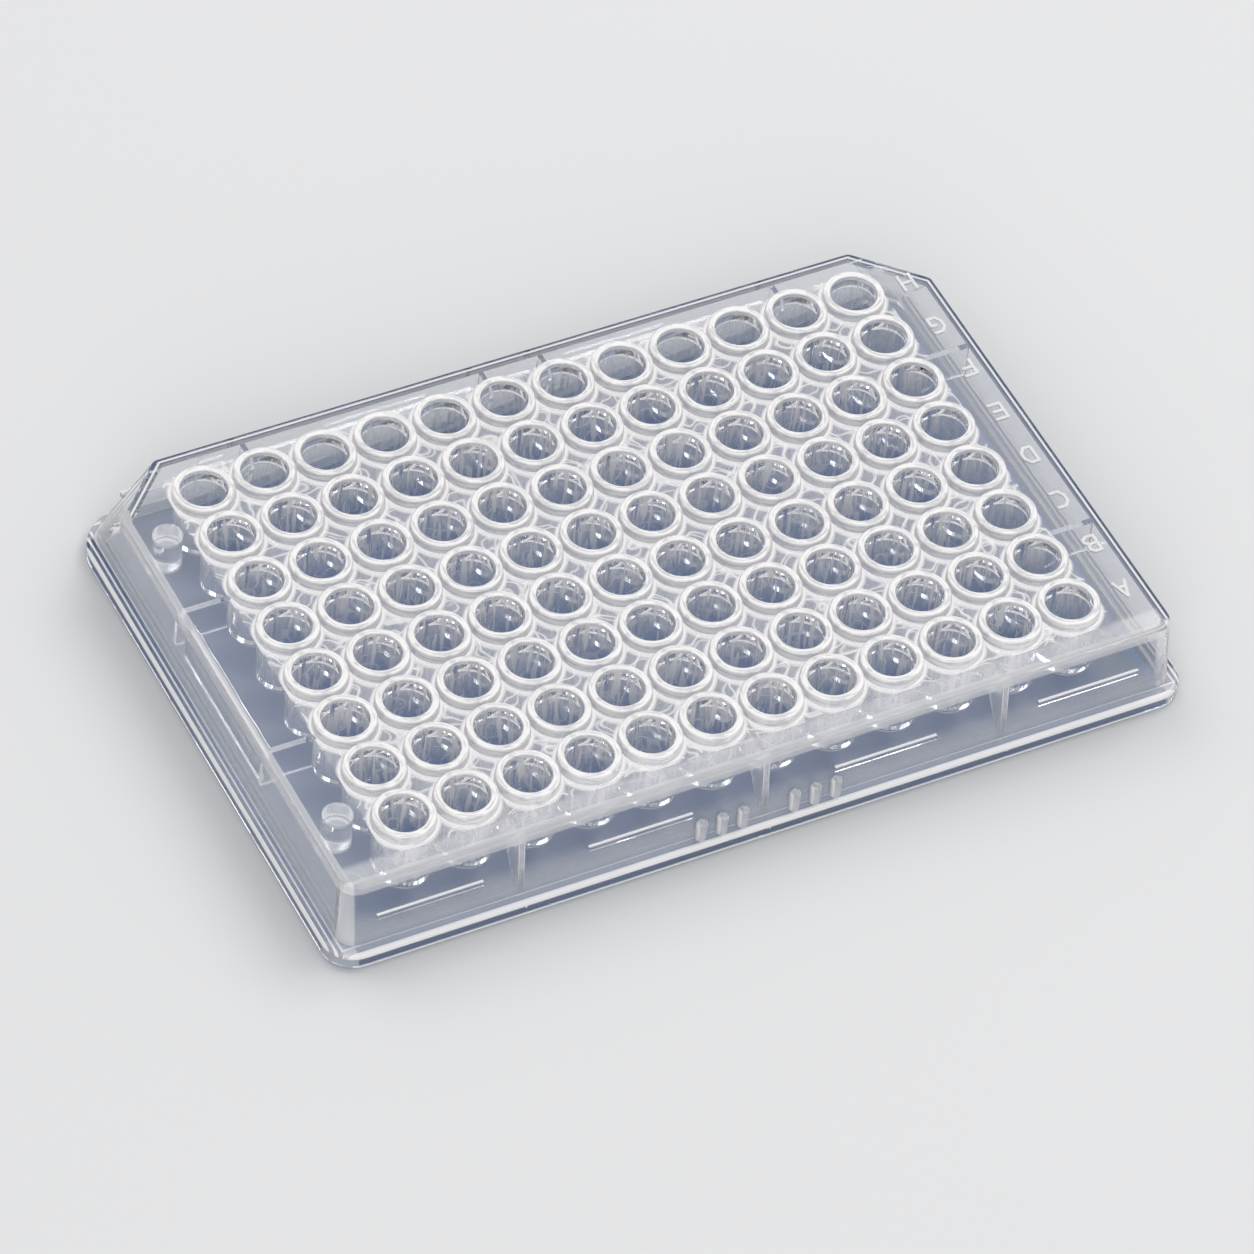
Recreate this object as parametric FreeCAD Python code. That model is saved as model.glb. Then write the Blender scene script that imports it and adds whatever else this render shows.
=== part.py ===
import FreeCAD, Part
import math
import os

# 96-well plate: one clear injection moulding, 8 rows by 12 columns of round,
# flat-bottomed wells hanging from a thin deck inside a skirt on a stepped flange.
#
# Millimetres. +X runs along the columns from 1 to 12, row A is at +Y, +Z is up.
# The origin is the middle of the footprint, on the face the plate stands on.

# ---- footprint and flange (standard microplate sizes) ----
footprint_length = 127.76
footprint_width = 85.48
plate_height = 14.35        # bench to the top of the well rims
flange_height = 2.5
flange_radius = 4.5         # plan corners at row A
flange_radius_cut = 7.0     # plan corners under the two cut corners, at row H
flange_top_round = 0.6      # outer edge that catches the light all round
flange_foot_round = 0.3

# ---- skirt ----
wall = 1.2
skirt_radius = 2.8          # upright corners at row A
foot_length = 124.2         # outside of the skirt where it meets the flange
foot_width = 82.1
foot_cut = 2.0              # leg of the corner cuts at the foot
deck_length = 123.5         # outside of the skirt at deck level
deck_width = 79.9
deck_cut = 8.8              # leg of the corner cuts at deck level
cut_round = 1.0             # on the upright edges of each corner cut
deck_edge_round = 0.45

# ---- deck and wells ----
rows = 8
columns = 12
pitch = 9.0
rim_height = 1.3            # collar round each well, above the deck
deck_thickness = 1.2
bore_radius = 3.3
well_depth = 9.2
well_floor = 0.95
well_floor_round = 0.3      # inside corner of the well floor
rim_radius_top = 4.3
rim_radius_base = 4.45
rim_round_out = 0.3
rim_round_in = 0.2
cup_radius_top = 4.15       # outside of the well under the deck
cup_radius_bottom = 3.95
cup_foot_round = 0.4
web_thickness = 0.8         # joins each well to its neighbours
web_bottom_gap = 1.2        # webs stop this far above the well bottoms

# ---- stiffeners under the deck ----
gusset_thickness = 0.7
gusset_foot_z = 0.9
gusset_foot_reach = 1.85    # from the outside of the skirt to the gusset's free edge
row_a_gussets_x = (-36.0, 0.0, 36.0)        # between two columns of wells
row_h_gussets_x = (-40.5, -4.5, 4.5, 40.5)  # behind the middle of a well
end_rib_thickness = 0.9
end_rib_depth = 5.4         # below the deck
end_rib_y_high = 13.5       # ribs at the column 12 end
end_rib_y_low = 18.0        # ribs at the column 1 end
ledge_thickness = 0.7       # flat pads inside the column 12 end wall and the row H wall
ledge_depth = 4.9
end_ledge_y = (-10.5, 13.5)
row_h_ledge_x = (-40.5, 47.0)
boss_radius = 2.1           # two pins under the deck at the column 12 end
boss_length = 5.4
boss_x = 56.8
boss_y = 27.0

# ---- marks on the long walls ----
bar_length = 15.3
bar_height = 0.9
bar_proud = 0.45
bar_middle_z = 7.05
bar_middles_x = (-48.3, -17.5, 19.0, 49.7)
fin_radius = 0.8
fin_top_z = 6.0
fin_proud = 1.1             # beyond the wall at the flange
fin_first_x = 3.85
fin_step_x = 3.1
fins_each_side = 3

# ---- row letters, raised on the deck at the column 1 end ----
letter_x = -58.0
letter_width = 2.2
letter_height = 3.2
letter_stroke = 0.45
letter_proud = 0.3

# ---- worked out ----
overlap = 0.3               # how far joined bodies run into each other
deck_top = plate_height - rim_height
deck_under = deck_top - deck_thickness
cup_bottom = plate_height - well_depth - well_floor
floor_z = plate_height - well_depth
cut_radius = (bore_radius + cup_radius_bottom) / 2
first_column_x = -(columns - 1) * pitch / 2
row_a_y = (rows - 1) * pitch / 2
cut_inset = (2 - math.sqrt(2)) * wall   # keeps the wall as thick across a corner cut
inner_cut_round = 0.4
UP = FreeCAD.Vector(0, 0, 1)


def vec(x, y, z=0.0):
    return FreeCAD.Vector(x, y, z)


def rounded_wire(corners):
    """Closed wire through (point, radius) corners; a radius of 0 leaves a corner sharp."""
    ends = []
    count = len(corners)
    for i, (here, radius) in enumerate(corners):
        to_last = corners[i - 1][0] - here
        to_next = corners[(i + 1) % count][0] - here
        to_last.normalize()
        to_next.normalize()
        half = to_last.getAngle(to_next) / 2
        back = radius / math.tan(half)
        inward = to_last + to_next
        inward.normalize()
        middle = here + inward * (radius / math.sin(half) - radius)
        ends.append((here + to_last * back, middle, here + to_next * back))
    edges = []
    for i, (start, middle, end) in enumerate(ends):
        if corners[i][1] > 0:
            edges.append(Part.Arc(start, middle, end).toShape())
        edges.append(Part.makeLine(end, ends[(i + 1) % count][0]))
    return Part.Wire(edges)


def outline(length, width, cut, z):
    """Corner points of the skirt at height z, with the two corner cuts at row H."""
    x = length / 2
    y = width / 2
    return [
        vec(x, y, z),
        vec(-x, y, z),
        vec(-x, -y + cut, z),
        vec(-x + cut, -y, z),
        vec(x - cut, -y, z),
        vec(x, -y + cut, z),
    ]


def flange_face(inset, z):
    x = footprint_length / 2 - inset
    y = footprint_width / 2 - inset
    near = flange_radius - inset
    far = flange_radius_cut - inset
    corners = [(vec(x, y, z), near), (vec(-x, y, z), near),
               (vec(-x, -y, z), far), (vec(x, -y, z), far)]
    return Part.Face(rounded_wire(corners))


def tapered_block(low, high, radius, radius_cut):
    """Solid between two level polygons, its upright edges rounded."""
    faces = [Part.Face(Part.makePolygon(high + high[:1])),
             Part.Face(Part.makePolygon(low[::-1] + low[-1:]))]
    for i, point in enumerate(low):
        j = (i + 1) % len(low)
        faces.append(Part.Face(Part.makePolygon([point, low[j], high[j], high[i], point])))
    block = Part.Solid(Part.Shell(faces))
    height = high[0].z - low[0].z
    block = block.makeFillet(radius, upright_edges(block, height, 1))
    return block.makeFillet(radius_cut, upright_edges(block, height, -1))


def upright_edges(block, height, side):
    """Edges that climb the whole height, on the row A side (1) or the row H side (-1)."""
    found = []
    for edge in block.Edges:
        box = edge.BoundBox
        if abs(box.ZLength - height) < 1e-3 and box.Center.y * side > 0:
            found.append(edge)
    return found


def edges_at(shape, z):
    """Edges of a shape that lie flat at height z."""
    found = []
    for edge in shape.Edges:
        box = edge.BoundBox
        if abs(box.ZMin - z) < 1e-4 and abs(box.ZMax - z) < 1e-4:
            found.append(edge)
    return found


def wall_x(z):
    """Outside of the end walls at height z."""
    share = (z - flange_height) / (deck_top - flange_height)
    return (foot_length + (deck_length - foot_length) * share) / 2


def wall_y(z):
    """Outside of the long walls at height z."""
    share = (z - flange_height) / (deck_top - flange_height)
    return (foot_width + (deck_width - foot_width) * share) / 2


def box(x0, x1, y0, y1, z0, z1):
    """Box between two corners, given in any order."""
    low = vec(min(x0, x1), min(y0, y1), min(z0, z1))
    return Part.makeBox(abs(x1 - x0), abs(y1 - y0), abs(z1 - z0), low)


def skirt():
    """Skirt and deck as a hollow lid, standing on the flange step."""
    outside = tapered_block(
        outline(foot_length, foot_width, foot_cut, flange_height),
        outline(deck_length, deck_width, deck_cut, deck_top),
        skirt_radius, cut_round,
    )
    outside = outside.makeFillet(deck_edge_round, edges_at(outside, deck_top))
    step = flange_face(0.0, 0.0).extrude(UP * flange_height)
    step = step.makeFillet(flange_top_round, edges_at(step, flange_height))
    step = step.makeFillet(flange_foot_round, edges_at(step, 0.0))

    inside = tapered_block(
        outline(foot_length - 2 * wall, foot_width - 2 * wall, foot_cut - cut_inset,
                flange_height - wall - overlap),
        outline(deck_length - 2 * wall, deck_width - 2 * wall, deck_cut - cut_inset,
                deck_under),
        skirt_radius - wall, inner_cut_round,
    )
    under_step = flange_face(wall, -overlap)
    under_step = under_step.extrude(UP * (flange_height - wall + overlap))
    return outside.fuse(step).cut([inside, under_step])


def well_middles():
    for row in range(rows):
        for column in range(columns):
            yield vec(first_column_x + column * pitch, row_a_y - row * pitch)


def cup():
    """One well as a turned cup: rounded rim, straight bore, drafted outside."""
    seat_z = (deck_top + deck_under) / 2    # the rim's foot is sunk this deep in the deck
    profile = [
        (0, floor_z, 0),
        (bore_radius, floor_z, well_floor_round),
        (bore_radius, plate_height, rim_round_in),
        (rim_radius_top, plate_height, rim_round_out),
        (rim_radius_base, deck_top, 0),
        (rim_radius_base, seat_z, 0),
        (cup_radius_top, seat_z, 0),
        (cup_radius_top, deck_under, 0),
        (cup_radius_bottom, cup_bottom, cup_foot_round),
        (0, cup_bottom, 0),
    ]
    wire = rounded_wire([(vec(r, 0, z), rounding) for r, z, rounding in profile])
    return Part.Face(wire).revolve(vec(0, 0, 0), UP, 360)


def webs():
    """Thin walls along the grid lines, from well to well in both directions."""
    half = web_thickness / 2
    x_end = first_column_x
    y_end = row_a_y
    low = cup_bottom + web_bottom_gap
    high = deck_under + overlap
    made = []
    for row in range(rows):
        y = row_a_y - row * pitch
        made.append(box(x_end, -x_end, y - half, y + half, low, high))
    for column in range(columns):
        x = first_column_x + column * pitch
        made.append(box(x - half, x + half, -y_end, y_end, low, high))
    return made


def gusset(x, side, reach):
    """Triangle inside a long wall: from y = reach at the deck to near the flange's foot."""
    high = deck_under + overlap
    flange_y = footprint_width / 2 - wall / 2
    corners = [
        (reach, high),
        (wall_y(high) - wall / 2, high),
        (wall_y(flange_height) - wall / 2, flange_height),
        (flange_y, flange_height - wall),
        (flange_y, gusset_foot_z),
        (wall_y(flange_height) - gusset_foot_reach, gusset_foot_z),
    ]
    points = [vec(x - gusset_thickness / 2, side * y, z) for y, z in corners]
    face = Part.Face(Part.makePolygon(points + points[:1]))
    return face.extrude(vec(gusset_thickness, 0, 0))


def gussets():
    """Between the columns they run in to a web, and behind a well they stop in its wall."""
    made = [gusset(x, 1, row_a_y) for x in row_a_gussets_x]
    made += [gusset(x, -1, row_a_y + cut_radius) for x in row_h_gussets_x]
    return made


def ledges():
    """Flat pads on the inside of the column 12 end wall and of the row H wall."""
    low = deck_under - ledge_depth
    high = deck_under + overlap
    end_x = wall_x(low) - wall
    long_y = wall_y(low) - wall
    return [
        box(end_x - ledge_thickness, end_x + wall / 2, *end_ledge_y, low, high),
        box(*row_h_ledge_x, -long_y + ledge_thickness, -long_y - wall / 2, low, high),
    ]


def end_stiffeners():
    """Ribs from the end walls to the wells, the pads, and two pins."""
    half = end_rib_thickness / 2
    low = deck_under - end_rib_depth
    high = deck_under + overlap
    inner_x = -first_column_x
    made = []
    for side in (1, -1):
        y = side * end_rib_y_high
        made.append(box(inner_x + cut_radius, wall_x(low) - wall / 2, y - half, y + half,
                        low, high))
        y = side * end_rib_y_low
        made.append(box(-inner_x, -wall_x(low) + wall / 2, y - half, y + half, low, high))
    made += ledges()
    for side in (1, -1):
        made.append(Part.makeCylinder(boss_radius, boss_length + overlap,
                                      vec(boss_x, side * boss_y, deck_under - boss_length)))
    return made


def wall_marks():
    """Raised bars and small fins on both long walls."""
    made = []
    low = bar_middle_z - bar_height / 2
    high = bar_middle_z + bar_height / 2
    for side in (1, -1):
        face_y = wall_y(bar_middle_z)
        for middle in bar_middles_x:
            made.append(box(middle - bar_length / 2, middle + bar_length / 2,
                            side * (face_y - wall / 2), side * (face_y + bar_proud),
                            low, high))
        fin_y = wall_y(flange_height) + fin_proud - fin_radius
        stem = fin_top_z - fin_radius - (flange_height - overlap)
        for step in range(fins_each_side):
            for x in (fin_first_x + step * fin_step_x, -fin_first_x - step * fin_step_x):
                base = vec(x, side * fin_y, flange_height - overlap)
                made.append(Part.makeCylinder(fin_radius, stem, base))
                made.append(Part.makeSphere(fin_radius, base + UP * stem))
    return made


def letter_strokes():
    """Strokes of the row letters A to H in a cell 1 wide and 1 high, origin in the middle.

    ("line", x0, y0, x1, y1) or ("bow", x, y0, y1, width): out to +x from (x, y0), up and
    back to (x, y1), or out to -x where the width is negative.
    """
    left, right, low, high = -0.5, 0.5, -0.5, 0.5
    stem = ("line", left, low, left, high)
    return {
        "A": [("line", left, low, 0, high), ("line", 0, high, right, low),
              ("line", -0.3, -0.15, 0.3, -0.15)],
        "B": [stem, ("bow", left, 0, high, 0.85), ("bow", left, low, 0, 1.0)],
        "C": [("bow", right, low, high, -1.0)],
        "D": [stem, ("bow", left, low, high, 1.0)],
        "E": [stem, ("line", left, high, right, high), ("line", left, 0, 0.35, 0),
              ("line", left, low, right, low)],
        "F": [stem, ("line", left, high, right, high), ("line", left, 0, 0.35, 0)],
        "G": [("bow", right, low, high, -1.0), ("line", right, low, right, 0),
              ("line", right, 0, 0.1, 0)],
        "H": [stem, ("line", right, low, right, high), ("line", left, 0, right, 0)],
    }


def stroke_solid(start, end):
    """Round-ended raised bar between two points on the deck."""
    along = end - start
    length = along.Length
    height = letter_proud + overlap
    half = letter_stroke / 2
    base = deck_top - overlap
    bar = Part.makeBox(length, letter_stroke, height, vec(0, -half, 0))
    cap = Part.makeCylinder(half, height)
    far_cap = Part.makeCylinder(half, height, vec(length, 0, 0))
    solid = bar.fuse([cap, far_cap]).removeSplitter()
    solid.rotate(vec(0, 0, 0), UP, math.degrees(math.atan2(along.y, along.x)))
    solid.translate(vec(start.x, start.y, base))
    return solid


def bow_points(x, y0, y1, width):
    """Corner-cut bow: out, up and back, as the simple moulded letters have it."""
    side = 0.35 * width
    shoulder = 0.3 * (y1 - y0)
    return [(x, y0), (x + width - side, y0), (x + width, y0 + shoulder),
            (x + width, y1 - shoulder), (x + width - side, y1), (x, y1)]


def letters():
    made = []
    strokes = letter_strokes()
    for row in range(rows):
        name = "ABCDEFGH"[row]
        middle = vec(letter_x, row_a_y - row * pitch)
        for stroke in strokes[name]:
            if stroke[0] == "line":
                points = [stroke[1:3], stroke[3:5]]
            else:
                points = bow_points(*stroke[1:])
            placed = [middle + vec(px * (letter_width - letter_stroke),
                                   py * (letter_height - letter_stroke))
                      for px, py in points]
            for start, end in zip(placed, placed[1:]):
                made.append(stroke_solid(start, end))
    return made


def plate():
    body = skirt()
    extras = webs() + gussets() + end_stiffeners() + wall_marks() + letters()
    body = body.fuse(extras)
    height = plate_height - cup_bottom + 2 * overlap
    holes = []
    for middle in well_middles():
        base = middle + UP * (cup_bottom - overlap)
        holes.append(Part.makeCylinder(cut_radius, height, base))
    body = body.cut(holes)
    one = cup()
    cups = []
    for middle in well_middles():
        placed = one.copy()
        placed.translate(middle)
        cups.append(placed)
    return body.fuse(cups)


os.makedirs("parts", exist_ok=True)
shape = plate()
solid = shape.Solids[0]
print("solids", len(shape.Solids), "valid", solid.isValid(), "faces", len(solid.Faces))
print("volume", round(solid.Volume, 1), "box", solid.BoundBox)
solid.exportStep("parts/well_plate.step")
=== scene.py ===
import bpy
import math
from functools import reduce
from mathutils import Matrix, Quaternion, Vector

# 96-well plate in clear, faintly blue polystyrene on a plain pale floor.
# The CAD solid is shown as it is: this script adds its material, the floor, the lamps, the world
# and the camera. In the part's frame, row A is at +Y and column 1 at -X, and the photograph looks
# from beyond row A, at the column 12 end.

# ---- the photograph's viewpoint ----
VIEW_AZIMUTH = 58.88        # degrees from +X towards +Y
VIEW_ELEVATION = 47.02      # degrees above the floor
VIEW_ROLL = 6.468           # degrees
VIEW_DISTANCE = 1.10288     # metres from the target
VIEW_TARGET = (0.00434, 0.00724, 0.007)
VIEW_LENS = 235.53          # mm
VIEW_SENSOR = 36.0          # mm
VIEW_CLIP = (0.05, 50.0)    # metres

# ---- surroundings ----
FLOOR_COLOUR = (0.73, 0.733, 0.738)
FLOOR_ROUGHNESS = 0.9
FLOOR_HALF = 6.0            # metres, half of its side
FLOOR_DROP = 0.00005        # metres that it lies below the plate's foot
SKY_COLOUR = (1.0, 1.0, 1.0)
HORIZON_COLOUR = (0.10, 0.14, 0.25)
SKY_STARTS = (2.0, 32.0)    # degrees of elevation over which the horizon's colour gives way
WORLD_STRENGTH = 0.515
LAMP_COLOUR = (1.0, 1.0, 1.0)
LAMPS = (
    # name, azimuth, elevation, distance, size, watts
    ("lamp_key", 195.0, 55.0, 1.4, 0.8, 7.2),
    ("lamp_back", 283.0, 52.0, 1.4, 0.8, 4.2),
    ("lamp_side", 130.0, 55.0, 1.4, 0.6, 0.8),
    ("lamp_front", 60.0, 28.0, 1.4, 0.9, 6.8),
)
PATH_BOUNCES = 20           # a ray crosses many faces of the clear plastic
GLOSSY_BOUNCES = 8
DIFFUSE_BOUNCES = 1
TRANSPARENT_BOUNCES = 48

# ---- plastic ----
MM_PER_METRE = 1000.0
PLASTIC_COLOUR = (0.94, 0.955, 0.98)
PLASTIC_ROUGHNESS = 0.0
PLASTIC_IOR = 1.59
RIPPLE_STRENGTH = 0.15      # faint unevenness of every face
RIPPLE_DEPTH = 0.0001       # metres
RIPPLE_SCALE = 0.35         # of its noise, for each mm
# white of the milky plastic, painted by place as haze and as highlights and refracted light
MILK_AND_HIGHLIGHT_COLOUR = (0.995, 0.975, 0.96)
MILK_AND_HIGHLIGHT_ROUGHNESS = 0.25
MILK_AND_HIGHLIGHT_GLOW = 0.1             # share of the milky white, haze and painted highlight, that passes light on as it scatters it
# painted deep-blue shade, put into the clear plastic's colour beside the edges
PAINTED_EDGE_SHADE = (0.16, 0.24, 0.42)

# ---- share of the light that passes a face on its way to what it lights ----
LIGHT_THROUGH_LEVEL = (0.42, 0.52, 0.69)    # a level face
LIGHT_THROUGH_WALL = (0.78, 0.80, 0.84)     # an upright face of a well
LIGHT_THROUGH_SKIRT = (0.37, 0.385, 0.41)   # the skirt and the flange
LIGHT_THROUGH_NEAR = (0.93, 0.93, 0.94)     # any face close to what it lights
NEAR_REACH = (0.008, 0.0115)                # metres over which the first three take over
ALWAYS_FAR = (6.4, 5.9)                     # mm of height below which they hold at any distance
SKIRT_INSIDE = (59.5, 38.0)                 # |x| and |y| beyond which a face is the skirt's
SKIRT_TAKES_OVER = (0.0, 0.2)               # mm past those
LEVEL_TILT = (0.5, 0.8)

# ---- the part's sizes, in mm ----
PITCH = 9.0
GRID_X = 54.0
GRID_Y = 36.0
DECK_TOP = 13.05
DECK_UNDER = 11.85
DECK_X = 61.75
DECK_Y = 39.95
DECK_CUT = 92.9             # |x| - y along the line of a cut corner
FOOT_X = 63.88
FOOT_Y = 42.74
PIN_X = 56.8
PIN_Y = 27.0
GUSSET_PITCH = 36.0
FIN_WALL = 41.31            # y of the long walls' outside, carried down to the bench
FIN_WALL_LEAN = 0.1043      # and how far it leans in for each mm of height
BAR_WALL = 40.6             # y that only the bars pass at their height

# ---- how milky white each place is, as haze and as painted highlight: 0 is clear, 1 is white ----
LIP_HAZE_AND_HIGHLIGHT = 1.0
RIM_TOP_HAZE_AND_HIGHLIGHT = 0.95
RIM_SIDE_HAZE_AND_HIGHLIGHT = 1.0
RIM_LEAST = 0.62            # share of a rim's haze and painted highlight that is left between streaks
CUP_HAZE_AND_HIGHLIGHT = 0.7
CUP_LEAST = 0.5             # share of a well's outside haze and painted highlight that is left between streaks
STREAK_HAZE_AND_HIGHLIGHT = 0.8
CURL_SHARE = 0.7            # curved strands are weaker than upright streaks
OUTER_WELL_SHARE = 0.35     # streaks in row H and column 1, where the wells look clearer
WEB_HAZE_AND_HIGHLIGHT = 0.75
FOOT_HAZE_AND_HIGHLIGHT = 0.75
HALO_HAZE_AND_HIGHLIGHT = 0.8
HALO_LEAST = 0.15           # the deck between the wells, where no strand runs
LETTER_HAZE_AND_HIGHLIGHT = 0.65
EDGE_HAZE_AND_HIGHLIGHT = 0.36
FAR_LINE_HAZE_AND_HIGHLIGHT = 0.75
POST_HAZE_AND_HIGHLIGHT = 0.3
MARGIN_HAZE_AND_HIGHLIGHT = 0.05
FAR_MARGIN_HAZE_AND_HIGHLIGHT = 0.07
NEAR_MARGIN_HAZE_AND_HIGHLIGHT = 0.25
NEAR_MARGIN_LEAST = 0.7     # share of that haze and painted highlight that is left between strands
FLANGE_HAZE_AND_HIGHLIGHT = 0.3           # inside the white lines on the long sides
PIN_HAZE_AND_HIGHLIGHT = 0.06
PIN_END_HAZE_AND_HIGHLIGHT = 0.75
PIN_TOP_HAZE_AND_HIGHLIGHT = 0.5
LEDGE_HAZE_AND_HIGHLIGHT = 0.6
GUSSET_FACE_HAZE_AND_HIGHLIGHT = 0.3
GUSSET_EDGE_HAZE_AND_HIGHLIGHT = 0.85
FIN_FACE_HAZE_AND_HIGHLIGHT = 0.2
FIN_SIDE_HAZE_AND_HIGHLIGHT = 0.8
BAR_HAZE_AND_HIGHLIGHT = 0.8
WALL_FOOT_HAZE_AND_HIGHLIGHT = 0.3
END_WALL_HAZE_AND_HIGHLIGHT = 0.1
PAINTED_SHADE_LEAST = 0.25           # share of the flange's painted deep-blue shade that is left towards row A


def direction(azimuth, elevation):
    """Unit vector from the part towards a place given by two angles in degrees."""
    a = math.radians(azimuth)
    e = math.radians(elevation)
    return Vector((math.cos(a) * math.cos(e), math.sin(a) * math.cos(e), math.sin(e)))


def add_camera():
    data = bpy.data.cameras.new("camera")
    data.sensor_width = VIEW_SENSOR
    data.lens = VIEW_LENS
    data.clip_start, data.clip_end = VIEW_CLIP
    camera = bpy.data.objects.new("camera", data)
    bpy.context.scene.collection.objects.link(camera)
    back = direction(VIEW_AZIMUTH, VIEW_ELEVATION)
    turn = (-back).to_track_quat("-Z", "Y")
    turn = turn @ Quaternion((0, 0, 1), math.radians(VIEW_ROLL))
    place = Vector(VIEW_TARGET) + back * VIEW_DISTANCE
    camera.matrix_world = Matrix.Translation(place) @ turn.to_matrix().to_4x4()
    bpy.context.scene.camera = camera


def add_lamp(name, azimuth, elevation, distance, size, watts):
    data = bpy.data.lights.new(name, "AREA")
    data.shape = "SQUARE"
    data.size = size
    data.energy = watts
    data.color = LAMP_COLOUR
    lamp = bpy.data.objects.new(name, data)
    bpy.context.scene.collection.objects.link(lamp)
    back = direction(azimuth, elevation)
    turn = (-back).to_track_quat("-Z", "Y")
    lamp.matrix_world = Matrix.Translation(back * distance) @ turn.to_matrix().to_4x4()


class Maths:
    """Short names for the nodes of one tree; every value is a socket or a number."""

    def __init__(self, tree):
        self.tree = tree

    def node(self, kind, *values):
        made = self.tree.nodes.new("ShaderNodeMath")
        made.operation = kind
        for i, value in enumerate(values):
            if isinstance(value, (int, float)):
                made.inputs[i].default_value = value
            else:
                self.tree.links.new(value, made.inputs[i])
        return made.outputs["Value"]

    def add(self, *values):
        return reduce(lambda a, b: self.node("ADD", a, b), values)

    def times(self, *values):
        return reduce(lambda a, b: self.node("MULTIPLY", a, b), values)

    def most(self, *values):
        return reduce(lambda a, b: self.node("MAXIMUM", a, b), values)

    def size(self, value):
        return self.node("ABSOLUTE", value)

    def opposite(self, share):
        """1 where share is 0, and 0 where it is 1."""
        return self.node("SUBTRACT", 1.0, share)

    def from_least(self, least, share):
        """From least to 1 as share goes from 0 to 1."""
        return self.add(self.times(share, 1.0 - least), least)

    def blend(self, first, last, share):
        """Mix of two colours, each a socket or three numbers."""
        made = self.tree.nodes.new("ShaderNodeMix")
        made.data_type = "RGBA"
        self.tree.links.new(share, made.inputs["Factor"])
        for name, colour in (("A", first), ("B", last)):
            if isinstance(colour, tuple):
                made.inputs[name].default_value = (*colour, 1.0)
            else:
                self.tree.links.new(colour, made.inputs[name])
        return made.outputs["Result"]

    def shaders(self, first, last, share):
        """Mix of two shaders."""
        made = self.tree.nodes.new("ShaderNodeMixShader")
        if isinstance(share, float):
            made.inputs["Fac"].default_value = share
        else:
            self.tree.links.new(share, made.inputs["Fac"])
        self.tree.links.new(first, made.inputs[1])
        self.tree.links.new(last, made.inputs[2])
        return made.outputs["Shader"]

    def noise(self, vector, scale, detail):
        made = self.tree.nodes.new("ShaderNodeTexNoise")
        made.inputs["Scale"].default_value = scale
        made.inputs["Detail"].default_value = detail
        self.tree.links.new(vector, made.inputs["Vector"])
        return made.outputs["Fac"]

    def split(self, vector):
        made = self.tree.nodes.new("ShaderNodeSeparateXYZ")
        self.tree.links.new(vector, made.inputs["Vector"])
        return made.outputs

    def far(self, a, b):
        """Length of the flat vector (a, b)."""
        return self.node("SQRT", self.add(self.times(a, a), self.times(b, b)))

    def step(self, value, start, end):
        """0 before start, 1 after end, and smooth between; start may be the larger one."""
        made = self.tree.nodes.new("ShaderNodeMapRange")
        made.interpolation_type = "SMOOTHSTEP"
        self.tree.links.new(value, made.inputs["Value"])
        low, high = min(start, end), max(start, end)
        made.inputs["From Min"].default_value = low
        made.inputs["From Max"].default_value = high
        made.inputs["To Min"].default_value = 0.0 if start < end else 1.0
        made.inputs["To Max"].default_value = 1.0 if start < end else 0.0
        return made.outputs["Result"]

    def band(self, value, low, high, soft):
        """1 between low and high, falling to 0 over soft on both sides."""
        return self.times(self.step(value, low - soft, low), self.step(value, high + soft, high))


# Every range below is in mm in the part's frame, or of a tilt or a noise where it says so. A pair
# is where a mask is 0 and where it is 1. A triple is a band's two ends and how far it fades.
SOFT = 0.1
GRID_EDGE = (0.5, 0.4)      # of the grid's own mask: outside, inside
UPRIGHT_TILT = (0.85, 0.5)
ABOVE_DECK = (DECK_TOP + 0.02, DECK_TOP + 0.1)
END_WALLS = (62.1, 62.3)    # |x|


class Spot:
    """A point of the plate: its place in mm in the part's frame, and how its face lies."""

    def __init__(self, maths, place, normal):
        self.place = place
        self.x, self.y, self.z = maths.split(place)
        self.across = maths.size(self.x)
        self.along = maths.size(self.y)
        facing = maths.split(normal)
        self.sideways = maths.size(facing[0])   # 1 on a face that looks along X
        self.tilt = maths.size(facing[2])       # 1 on a level face
        self.upright = maths.step(self.tilt, *UPRIGHT_TILT)
        self.in_grid = maths.times(maths.step(self.across, GRID_X + SOFT, GRID_X),
                                   maths.step(self.along, GRID_Y + SOFT, GRID_Y))
        self.off_grid = maths.step(self.in_grid, *GRID_EDGE)
        self.above = maths.step(self.z, *ABOVE_DECK)
        # distance past the deck's outline, less than 0 inside it; row H has cut corners
        sides = maths.most(maths.add(self.across, -DECK_X), maths.add(self.along, -DECK_Y))
        past_cut = maths.add(maths.node("SUBTRACT", self.across, self.y), -DECK_CUT)
        self.past_deck = maths.most(sides, maths.times(past_cut, math.sqrt(0.5)))
        # and past the flange's
        self.past_foot = maths.most(maths.add(self.across, -FOOT_X),
                                    maths.add(self.along, -FOOT_Y))
        self.curls = strands(maths, place)


STREAK_STRETCH = (1.0, 1.0, 0.1)    # long in height
STREAK_SCALE = 1.4
STREAK_DETAIL = 1.0
STREAK_LEVELS = (0.54, 0.61)        # of its noise
STRAND_SCALE = 0.33
STRAND_LEVELS = (0.055, 0.0)        # of its noise's distance from the middle
NOISE_MIDDLE = 0.5
RING_SCALE = 1.7
RING_DETAIL = 1.0
RING_LEVELS = (0.4, 0.58)           # of its noise
RING_ACROSS = 1.8                   # how fast it changes with the radius
RING_UP = 1.3                       # and with the height
WELL_SKEW = 1.7                     # y counts for more than x in the drift
WELL_DRIFT = 0.02                   # from well to well


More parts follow.
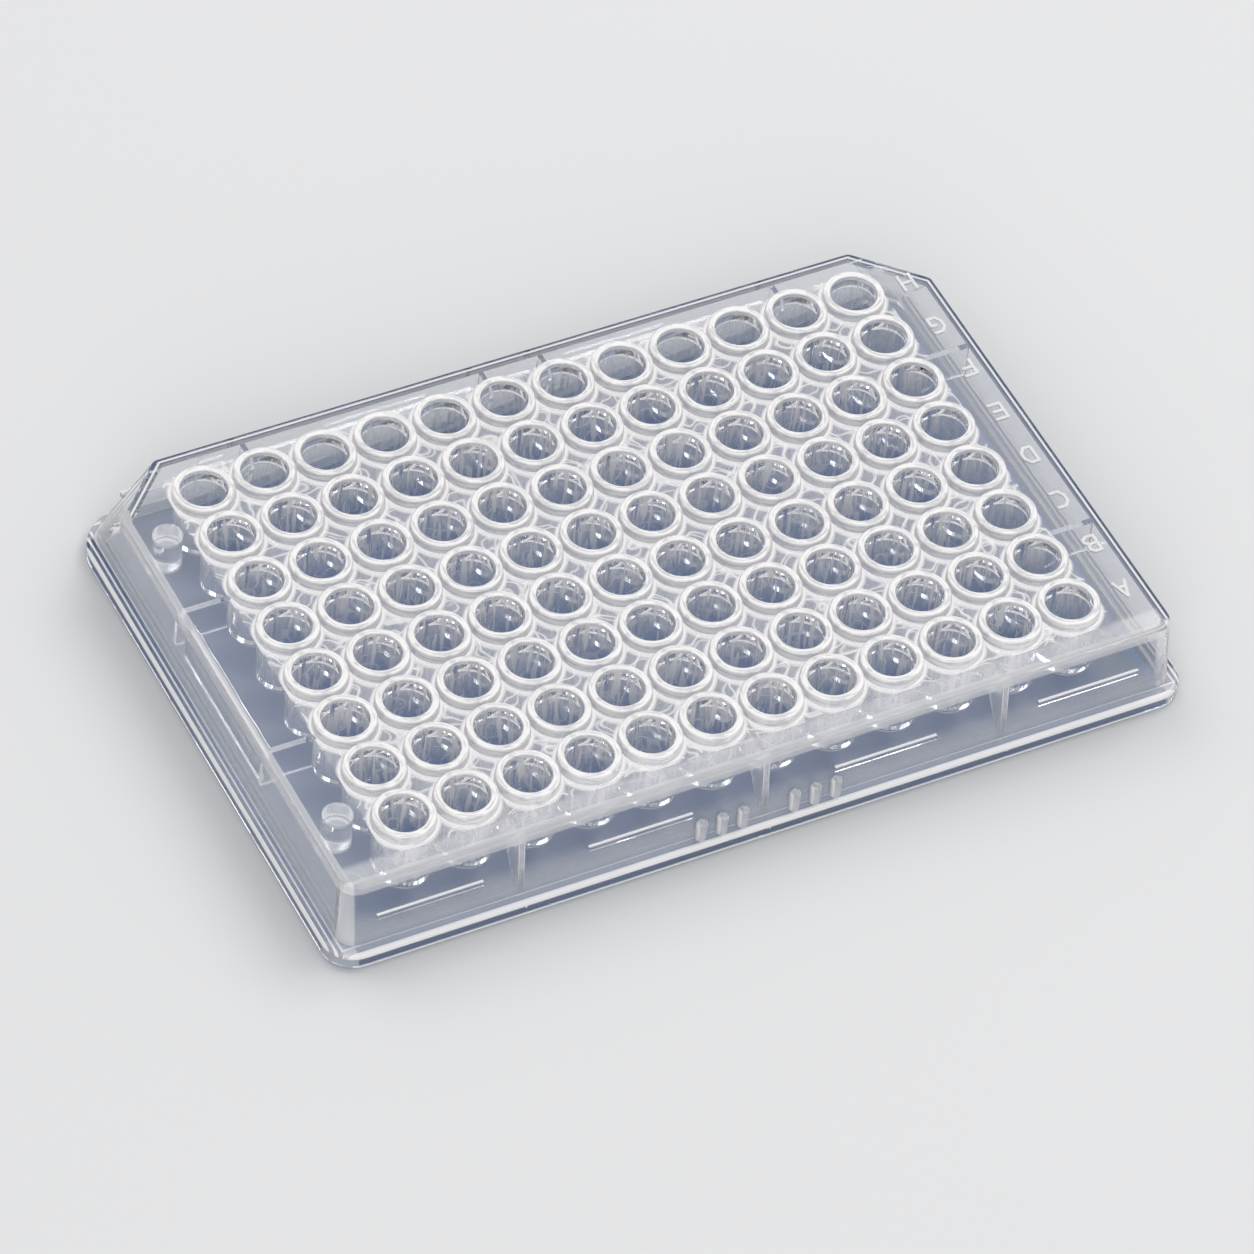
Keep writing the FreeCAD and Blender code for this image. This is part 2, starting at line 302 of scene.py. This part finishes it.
def upright_streaks(maths, place):
    """Uneven upright streaks in the walls of the wells, for their painted highlight and haze."""
    stretch = maths.tree.nodes.new("ShaderNodeVectorMath")
    stretch.operation = "MULTIPLY"
    stretch.inputs[1].default_value = STREAK_STRETCH
    maths.tree.links.new(place, stretch.inputs[0])
    streaks = maths.noise(stretch.outputs["Vector"], STREAK_SCALE, STREAK_DETAIL)
    return maths.step(streaks, *STREAK_LEVELS)


def strands(maths, place):
    """Thin curved lines for the painted highlight, as light gathers in uneven plastic."""
    off_middle = maths.size(maths.add(maths.noise(place, STRAND_SCALE, 0.0), -NOISE_MIDDLE))
    return maths.step(off_middle, *STRAND_LEVELS)


def ring_streaks(maths, spot, cell_x, cell_y, radius):
    """Streaks of painted highlight and haze that run round each rim; a drift from well to well
    sets the rims apart.
    """
    drift = maths.times(maths.add(spot.x, maths.times(spot.y, WELL_SKEW)), WELL_DRIFT)
    spin = maths.tree.nodes.new("ShaderNodeCombineXYZ")
    lift = maths.add(maths.times(radius, RING_ACROSS),
                     maths.times(maths.add(spot.z, drift), RING_UP))
    turn = (maths.node("DIVIDE", cell_x, radius), maths.node("DIVIDE", cell_y, radius))
    for i, value in enumerate((*turn, lift)):
        maths.tree.links.new(value, spin.inputs[i])
    return maths.step(maths.noise(spin.outputs["Vector"], RING_SCALE, RING_DETAIL), *RING_LEVELS)


SIDE_LINE = (-0.15, -0.05)              # past the flange's outline
SIDE_LINE_HEIGHTS = (0.7, 1.6, SOFT)
GROOVE = (-1.6, -0.4, 0.05)             # past the flange's outline
GROOVE_HEIGHTS = (2.0, 2.8, SOFT)
AWAY_FROM_ROW_A = (8.0, -18.0)          # y
BRINK = (-0.5, -0.42)                   # past the deck's outline
BRINK_HEIGHTS = (11.0, 11.5)
FAR_END = (-60.0, -60.3)                # x
FAR_SIDE = (-38.2, -38.5)               # y


def painted_shade_lines(maths, spot):
    """Painted deep-blue shade: dark lines beside the white lines of the flange and of the deck.
    """
    side = maths.times(maths.step(spot.past_foot, *SIDE_LINE),
                       maths.band(spot.z, *SIDE_LINE_HEIGHTS))
    groove = maths.times(maths.band(spot.past_foot, *GROOVE), maths.step(spot.across, *END_WALLS),
                         maths.band(spot.z, *GROOVE_HEIGHTS))
    flange = maths.times(maths.most(side, groove),
                         maths.from_least(PAINTED_SHADE_LEAST, maths.step(spot.y, *AWAY_FROM_ROW_A)))
    far_side = maths.most(maths.step(spot.x, *FAR_END), maths.step(spot.y, *FAR_SIDE))
    brink = maths.times(maths.step(spot.past_deck, *BRINK), far_side,
                        maths.step(spot.z, *BRINK_HEIGHTS))
    return maths.most(flange, brink)


# by radius from a well's middle
LIP_INSIDE = (3.6, 3.45)
LIP_OUTSIDE = (4.0, 4.12)
RIM_FLANK = (4.2, 4.28)
RIM_NEAR = (5.3, 4.5)
RIM_PAST = (4.1, 4.2)
CUP_OUTSIDE = (3.6, 3.8)
BORE_INSIDE = (3.6, 3.5)
WEB_PAST = (4.16, 4.2)
FOOT_RING = (3.45, 4.0, SOFT)
# by height
RIM_CROWN = (DECK_TOP + 0.9, DECK_TOP + 1.15)
DECK_SLAB = (DECK_UNDER - 0.05, DECK_TOP + 0.03, 0.03)
CUP_RISE = (4.5, 12.0)
CUP_BELOW_DECK = (DECK_UNDER + 0.05, DECK_UNDER)
BELOW_DECK = (DECK_UNDER, DECK_UNDER - SOFT)
FOOT_HEIGHTS = (3.5, 4.65, SOFT)
# by place
PAST_COLUMN_1 = (-46.0, -44.0)          # x
PAST_ROW_H = (-28.0, -26.0)             # y


def well_haze_and_highlight(maths, spot):
    """Haze and painted highlight on the rims, wells, the webs between them and the deck round
    them.
    """
    half = PITCH / 2
    cell_x = maths.node("WRAP", maths.add(spot.x, half), half, -half)
    cell_y = maths.node("WRAP", maths.add(spot.y, half), half, -half)
    radius = maths.far(cell_x, cell_y)
    rings = ring_streaks(maths, spot, cell_x, cell_y, radius)
    streaks = upright_streaks(maths, spot.place)
    strand = maths.times(spot.curls, CURL_SHARE)

    # rims: painted white highlight on the lips, a little clearer between them, and on the flanks,
    # with some haze
    top = maths.step(spot.z, *RIM_CROWN)
    lips = maths.most(maths.step(radius, *LIP_INSIDE), maths.step(radius, *LIP_OUTSIDE))
    patchy = maths.from_least(RIM_LEAST, rings)
    crown = maths.times(top, patchy,
                        maths.add(RIM_TOP_HAZE_AND_HIGHLIGHT, maths.times(lips, LIP_HAZE_AND_HIGHLIGHT - RIM_TOP_HAZE_AND_HIGHLIGHT)))
    flank = maths.times(spot.above, maths.step(radius, *RIM_FLANK), patchy, RIM_SIDE_HAZE_AND_HIGHLIGHT)
    # the deck close to a rim, painted white as haze and highlight
    halo = maths.times(maths.band(spot.z, *DECK_SLAB),
                       maths.most(maths.step(radius, *RIM_NEAR), maths.add(strand, HALO_LEAST)),
                       HALO_HAZE_AND_HIGHLIGHT, maths.step(radius, *RIM_PAST))

    # wells under the deck: milky white as haze and painted highlight where they hang from it,
    # clear lower down, and a painted white foot
    hangs = maths.times(maths.step(spot.z, *CUP_RISE), maths.step(spot.z, *CUP_BELOW_DECK),
                        spot.upright)
    cups = maths.times(hangs, maths.step(radius, *CUP_OUTSIDE),
                       maths.from_least(CUP_LEAST, streaks), CUP_HAZE_AND_HIGHLIGHT)
    inner = maths.times(maths.step(spot.x, *PAST_COLUMN_1), maths.step(spot.y, *PAST_ROW_H))
    bores = maths.times(maths.step(radius, *BORE_INSIDE), spot.upright,
                        maths.most(streaks, strand), STREAK_HAZE_AND_HIGHLIGHT,
                        maths.from_least(OUTER_WELL_SHARE, inner))
    webs = maths.times(maths.step(radius, *WEB_PAST), spot.upright,
                       maths.step(spot.z, *BELOW_DECK), WEB_HAZE_AND_HIGHLIGHT)
    foot = maths.times(maths.band(spot.z, *FOOT_HEIGHTS), maths.band(radius, *FOOT_RING),
                       FOOT_HAZE_AND_HIGHLIGHT)

    rims = maths.most(maths.add(crown, halo), flank)
    return maths.times(spot.in_grid, maths.add(rims, maths.most(cups, bores, webs), foot))


LETTERS_END = (-55.0, -55.5)            # x
NEAR_END = (60.0, 60.3)                 # x
NEAR_SIDE = (38.2, 38.5)                # y
EDGE_BAND = (-1.3, -1.15)               # past the deck's outline
EDGE_HEIGHTS = (11.4, 11.7)
FAR_LINE = (-0.88, -0.66, SOFT)         # past the deck's outline
FAR_LINE_HEIGHTS = (DECK_TOP - 0.1, DECK_TOP - 0.02)
POST_X = (60.2, 60.5)                   # |x|
POST_Y = (38.4, 38.8)                   # |y|
MARGIN_HEIGHTS = (DECK_UNDER - 0.05, DECK_TOP + 0.02, 0.03)
MARGIN_INSIDE = (-1.1, -1.3)            # past the deck's outline
FAR_MARGIN_END = (-53.0, -56.0)         # x
FAR_MARGIN_SIDE = (-35.0, -37.0)        # y
NEAR_MARGIN_SIDE = (35.6, 36.6)         # y


def deck_haze_and_highlight(maths, spot):
    """Haze and painted highlight on the deck outside the wells: its letters, its outline, its
    margins and its near corners.
    """
    letters = maths.times(maths.step(spot.x, *LETTERS_END), spot.above, LETTER_HAZE_AND_HIGHLIGHT)

    near_side = maths.most(maths.step(spot.x, *NEAR_END), maths.step(spot.y, *NEAR_SIDE))
    edge = maths.times(maths.step(spot.past_deck, *EDGE_BAND), maths.step(spot.z, *EDGE_HEIGHTS),
                       near_side, EDGE_HAZE_AND_HIGHLIGHT)
    far_line = maths.times(maths.band(spot.past_deck, *FAR_LINE),
                           maths.step(spot.z, *FAR_LINE_HEIGHTS),
                           maths.opposite(near_side), FAR_LINE_HAZE_AND_HIGHLIGHT)
    post = maths.times(maths.step(spot.across, *POST_X), maths.step(spot.along, *POST_Y),
                       POST_HAZE_AND_HIGHLIGHT)

    margin = maths.times(maths.band(spot.z, *MARGIN_HEIGHTS), spot.off_grid,
                         maths.step(spot.past_deck, *MARGIN_INSIDE))
    far_margin = maths.most(maths.step(spot.x, *FAR_MARGIN_END),
                            maths.step(spot.y, *FAR_MARGIN_SIDE))
    near_margin = maths.times(maths.step(spot.y, *NEAR_MARGIN_SIDE),
                              maths.from_least(NEAR_MARGIN_LEAST, spot.curls))
    margin_haze_and_highlight = maths.add(MARGIN_HAZE_AND_HIGHLIGHT, maths.times(far_margin, FAR_MARGIN_HAZE_AND_HIGHLIGHT),
                     maths.times(near_margin, NEAR_MARGIN_HAZE_AND_HIGHLIGHT))
    return maths.add(letters, edge, far_line, post, maths.times(margin, margin_haze_and_highlight))


# past the flange's outline
END_LIP = (-0.4, -0.34)
END_LIP_STRIPE = (-1.12, -0.84, 0.05)
LONG_LIP = (-0.75, -0.65)
LONG_LIP_BAND = (-1.75, -1.65)
CREASE = (-1.9, -1.66, 0.06)
FOOT_LINE = (-0.4, -0.3)
# by height
LIP_HEIGHTS = (1.75, 1.9)
CREASE_HEIGHTS = (2.3, 2.4)
FOOT_LINE_HEIGHTS = (0.6, 0.48)
FLANGE_HEIGHTS = (2.7, 2.55)


def flange_haze_and_highlight(maths, spot):
    """Painted highlight and haze: a thin white crease at the skirt's foot, and white lines on the
    flange's outer edge.
    """
    end = maths.step(spot.across, *END_WALLS)
    end_lip = maths.most(maths.step(spot.past_foot, *END_LIP),
                         maths.times(maths.band(spot.past_foot, *END_LIP_STRIPE), end))
    long_lip = maths.most(maths.step(spot.past_foot, *LONG_LIP),
                          maths.times(maths.step(spot.past_foot, *LONG_LIP_BAND), FLANGE_HAZE_AND_HIGHLIGHT))
    long_lip = maths.times(long_lip, maths.opposite(end))
    lip = maths.times(maths.most(end_lip, long_lip), maths.step(spot.z, *LIP_HEIGHTS))
    crease = maths.times(maths.band(spot.past_foot, *CREASE), maths.step(spot.z, *CREASE_HEIGHTS))
    foot_line = maths.times(maths.step(spot.z, *FOOT_LINE_HEIGHTS),
                            maths.step(spot.past_foot, *FOOT_LINE))
    return maths.times(maths.step(spot.z, *FLANGE_HEIGHTS), maths.most(lip, crease, foot_line))


# by distance from a pin's middle
PIN_OUTSIDE = (2.4, 2.3)
PIN_RIM = (1.4, 1.7)
# by height
PIN_END_HEIGHTS = (7.0, 6.8)
PIN_TOP_HEIGHTS = (DECK_UNDER - 0.6, DECK_UNDER - 0.3)


def pin_haze_and_highlight(maths, spot):
    """Haze and painted highlight on the two pins under the deck: white ends, and milky where they
    hang from it.
    """
    centre = maths.far(maths.add(spot.x, -PIN_X), maths.add(spot.along, -PIN_Y))
    pins = maths.times(maths.step(centre, *PIN_OUTSIDE), maths.step(spot.z, *BELOW_DECK))
    end = maths.times(maths.step(spot.z, *PIN_END_HEIGHTS), maths.step(centre, *PIN_RIM),
                      PIN_END_HAZE_AND_HIGHLIGHT)
    top = maths.times(maths.step(spot.z, *PIN_TOP_HEIGHTS), PIN_TOP_HAZE_AND_HIGHLIGHT)
    return maths.times(pins, maths.add(PIN_HAZE_AND_HIGHLIGHT, maths.most(end, top)))


INLAND = (-1.2, -1.5)                   # past the deck's outline
LEDGE_TILT = (0.8, 0.95)                # near 1 is a level face
LEDGE_HEIGHTS = (6.3, 7.3, SOFT)
GUSSET_NEAR = (0.5, 0.4)                # from the middle of the nearest gusset
GUSSET_Y = (36.2, 39.8, SOFT)
GUSSET_HEIGHTS = (1.5, DECK_UNDER - 0.1, SOFT)
GUSSET_EDGE_TILT = (0.8, 0.5)           # of a face's turn to X


def stiffener_haze_and_highlight(maths, spot):
    """Painted highlight and haze: white lower edges on the ribs and ledges, and white free edges
    on the gussets.
    """
    inland = maths.times(maths.step(spot.past_deck, *INLAND), spot.off_grid)
    under = maths.times(maths.step(spot.tilt, *LEDGE_TILT),
                        maths.band(spot.z, *LEDGE_HEIGHTS), inland, LEDGE_HAZE_AND_HIGHLIGHT)
    half = GUSSET_PITCH / 2
    from_gusset = maths.size(maths.node("WRAP", spot.x, half, -half))
    gusset = maths.times(maths.step(from_gusset, *GUSSET_NEAR), maths.band(spot.y, *GUSSET_Y),
                         maths.band(spot.z, *GUSSET_HEIGHTS))
    free_edge = maths.times(maths.step(spot.sideways, *GUSSET_EDGE_TILT), GUSSET_EDGE_HAZE_AND_HIGHLIGHT)
    return maths.add(under, maths.times(gusset, maths.add(GUSSET_FACE_HAZE_AND_HIGHLIGHT, free_edge)))


FIN_PROUD = (0.12, 0.25)                # past the wall
FIN_X = (12.5, 12.0)                    # |x|
FIN_HEIGHTS = (2.75, 6.2, SOFT)
FIN_SIDE_TILT = (0.5, 0.9)              # of a face's turn to X
BAR_PROUD = (0.0, 0.1)                  # past the wall
BAR_HEIGHTS = (7.42, 7.6, 0.05)
SKIRT_WALL = (-1.5, -1.2)               # past the deck's outline
SKIRT_HEIGHTS = (2.6, DECK_UNDER - 0.2, SOFT)
SKIRT_FOOT = (8.5, 2.5)                 # z
END_WALL = (60.0, 60.4)                 # x


def wall_haze_and_highlight(maths, spot):
    """Haze and painted highlight on the skirt's walls: fins and bars on the long ones, and a
    milky foot.
    """
    proud = maths.add(spot.along, maths.times(spot.z, FIN_WALL_LEAN), -FIN_WALL)
    fins = maths.times(maths.step(proud, *FIN_PROUD), maths.step(spot.across, *FIN_X),
                       maths.band(spot.z, *FIN_HEIGHTS))
    fin_side = maths.times(maths.step(spot.sideways, *FIN_SIDE_TILT), FIN_SIDE_HAZE_AND_HIGHLIGHT)
    fins = maths.times(fins, maths.add(FIN_FACE_HAZE_AND_HIGHLIGHT, fin_side))
    bars = maths.times(maths.step(maths.add(spot.along, -BAR_WALL), *BAR_PROUD),
                       maths.band(spot.z, *BAR_HEIGHTS), BAR_HAZE_AND_HIGHLIGHT)

    skirt = maths.times(maths.step(spot.past_deck, *SKIRT_WALL),
                        maths.band(spot.z, *SKIRT_HEIGHTS))
    foot = maths.times(maths.step(spot.z, *SKIRT_FOOT), WALL_FOOT_HAZE_AND_HIGHLIGHT)
    end = maths.times(maths.step(spot.x, *END_WALL), END_WALL_HAZE_AND_HIGHLIGHT)
    return maths.add(fins, bars, maths.times(skirt, maths.add(foot, end)))


def light_through(maths, spot, ray_length):
    """Colour of the light that a face passes on: the plate's soft blue shade on the floor."""
    inside_x, inside_y = SKIRT_INSIDE
    outward = maths.most(maths.add(spot.across, -inside_x), maths.add(spot.along, -inside_y))
    colour = maths.blend(LIGHT_THROUGH_WALL, LIGHT_THROUGH_SKIRT,
                         maths.step(outward, *SKIRT_TAKES_OVER))
    colour = maths.blend(colour, LIGHT_THROUGH_LEVEL, maths.step(spot.tilt, *LEVEL_TILT))
    distant = maths.most(maths.step(ray_length, *NEAR_REACH), maths.step(spot.z, *ALWAYS_FAR))
    return maths.blend(LIGHT_THROUGH_NEAR, colour, distant)


def add_world():
    world = bpy.data.worlds.new("studio")
    world.use_nodes = True
    maths = Maths(world.node_tree)
    aim = world.node_tree.nodes.new("ShaderNodeTexCoord")
    height = maths.split(aim.outputs["Generated"])[2]
    start, end = [math.sin(math.radians(angle)) for angle in SKY_STARTS]
    shade = world.node_tree.nodes["Background"]
    sky = maths.blend(HORIZON_COLOUR, SKY_COLOUR, maths.step(height, start, end))
    world.node_tree.links.new(sky, shade.inputs["Color"])
    shade.inputs["Strength"].default_value = WORLD_STRENGTH
    bpy.context.scene.world = world


def add_floor():
    mesh = bpy.data.meshes.new("floor")
    s = FLOOR_HALF
    mesh.from_pydata([(-s, -s, 0), (s, -s, 0), (s, s, 0), (-s, s, 0)], [], [(0, 1, 2, 3)])
    floor = bpy.data.objects.new("floor", mesh)
    floor.location.z = -FLOOR_DROP
    bpy.context.scene.collection.objects.link(floor)
    paint = bpy.data.materials.new("floor_paint")
    paint.use_nodes = True
    shader = paint.node_tree.nodes["Principled BSDF"]
    shader.inputs["Base Color"].default_value = (*FLOOR_COLOUR, 1.0)
    shader.inputs["Roughness"].default_value = FLOOR_ROUGHNESS
    shader.inputs["Specular IOR Level"].default_value = 0.0
    mesh.materials.append(paint)


def plastic():
    """Clear plastic, milky white by place as haze and painted highlight, with painted deep-blue
    shade, that lets lamps and the sky light what is behind it.
    """
    paint = bpy.data.materials.new("clear_polystyrene")
    paint.use_nodes = True
    nodes = paint.node_tree.nodes
    links = paint.node_tree.links
    maths = Maths(paint.node_tree)

    texture = nodes.new("ShaderNodeTexCoord")
    scaled = nodes.new("ShaderNodeVectorMath")
    scaled.operation = "SCALE"
    scaled.inputs["Scale"].default_value = MM_PER_METRE
    links.new(texture.outputs["Object"], scaled.inputs[0])
    spot = Spot(maths, scaled.outputs["Vector"], texture.outputs["Normal"])

    ripple = nodes.new("ShaderNodeBump")
    ripple.inputs["Strength"].default_value = RIPPLE_STRENGTH
    ripple.inputs["Distance"].default_value = RIPPLE_DEPTH
    links.new(maths.noise(spot.place, RIPPLE_SCALE, 0.0), ripple.inputs["Height"])

    clear = nodes["Principled BSDF"]
    # painted deep-blue shade along the flange and the deck's far edges
    colour = maths.blend(PLASTIC_COLOUR, PAINTED_EDGE_SHADE, painted_shade_lines(maths, spot))
    links.new(colour, clear.inputs["Base Color"])
    clear.inputs["IOR"].default_value = PLASTIC_IOR
    clear.inputs["Transmission Weight"].default_value = 1.0
    clear.inputs["Roughness"].default_value = PLASTIC_ROUGHNESS
    links.new(ripple.outputs["Normal"], clear.inputs["Normal"])

    # the milky white: haze, and painted highlight where the plastic would catch the light
    milk_and_highlight = nodes.new("ShaderNodeBsdfPrincipled")
    milk_and_highlight.inputs["Base Color"].default_value = (*MILK_AND_HIGHLIGHT_COLOUR, 1.0)
    milk_and_highlight.inputs["Roughness"].default_value = MILK_AND_HIGHLIGHT_ROUGHNESS
    links.new(ripple.outputs["Normal"], milk_and_highlight.inputs["Normal"])
    glow = nodes.new("ShaderNodeBsdfTranslucent")
    glow.inputs["Color"].default_value = (*MILK_AND_HIGHLIGHT_COLOUR, 1.0)
    white = maths.shaders(milk_and_highlight.outputs["BSDF"], glow.outputs["BSDF"], MILK_AND_HIGHLIGHT_GLOW)

    # how milky white each place is painted: haze and painted highlight
    haze_and_highlight = maths.add(*(part(maths, spot) for part in (
        well_haze_and_highlight, deck_haze_and_highlight, flange_haze_and_highlight, pin_haze_and_highlight, stiffener_haze_and_highlight, wall_haze_and_highlight)))
    seen = maths.shaders(clear.outputs["BSDF"], white, haze_and_highlight)

    path = nodes.new("ShaderNodeLightPath")
    passes = maths.most(path.outputs["Is Shadow Ray"], path.outputs["Is Diffuse Ray"])
    through = nodes.new("ShaderNodeBsdfTransparent")
    links.new(light_through(maths, spot, path.outputs["Ray Length"]), through.inputs["Color"])
    both = maths.shaders(seen, through.outputs["BSDF"], passes)
    links.new(both, nodes["Material Output"].inputs["Surface"])
    return paint


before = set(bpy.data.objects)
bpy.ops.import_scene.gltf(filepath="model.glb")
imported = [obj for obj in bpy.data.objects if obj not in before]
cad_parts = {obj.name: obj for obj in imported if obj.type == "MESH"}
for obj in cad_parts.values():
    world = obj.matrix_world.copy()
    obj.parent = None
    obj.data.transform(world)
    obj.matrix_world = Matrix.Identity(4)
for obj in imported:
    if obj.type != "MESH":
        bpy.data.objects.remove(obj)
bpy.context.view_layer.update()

scene = bpy.context.scene
scene.view_settings.view_transform = "Standard"
scene.cycles.max_bounces = PATH_BOUNCES
scene.cycles.transmission_bounces = PATH_BOUNCES
scene.cycles.glossy_bounces = GLOSSY_BOUNCES
scene.cycles.diffuse_bounces = DIFFUSE_BOUNCES
scene.cycles.transparent_max_bounces = TRANSPARENT_BOUNCES

add_camera()
add_world()
add_floor()
for lamp in LAMPS:
    add_lamp(*lamp)

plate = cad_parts["well_plate"]
plate.data.materials.clear()
plate.data.materials.append(plastic())
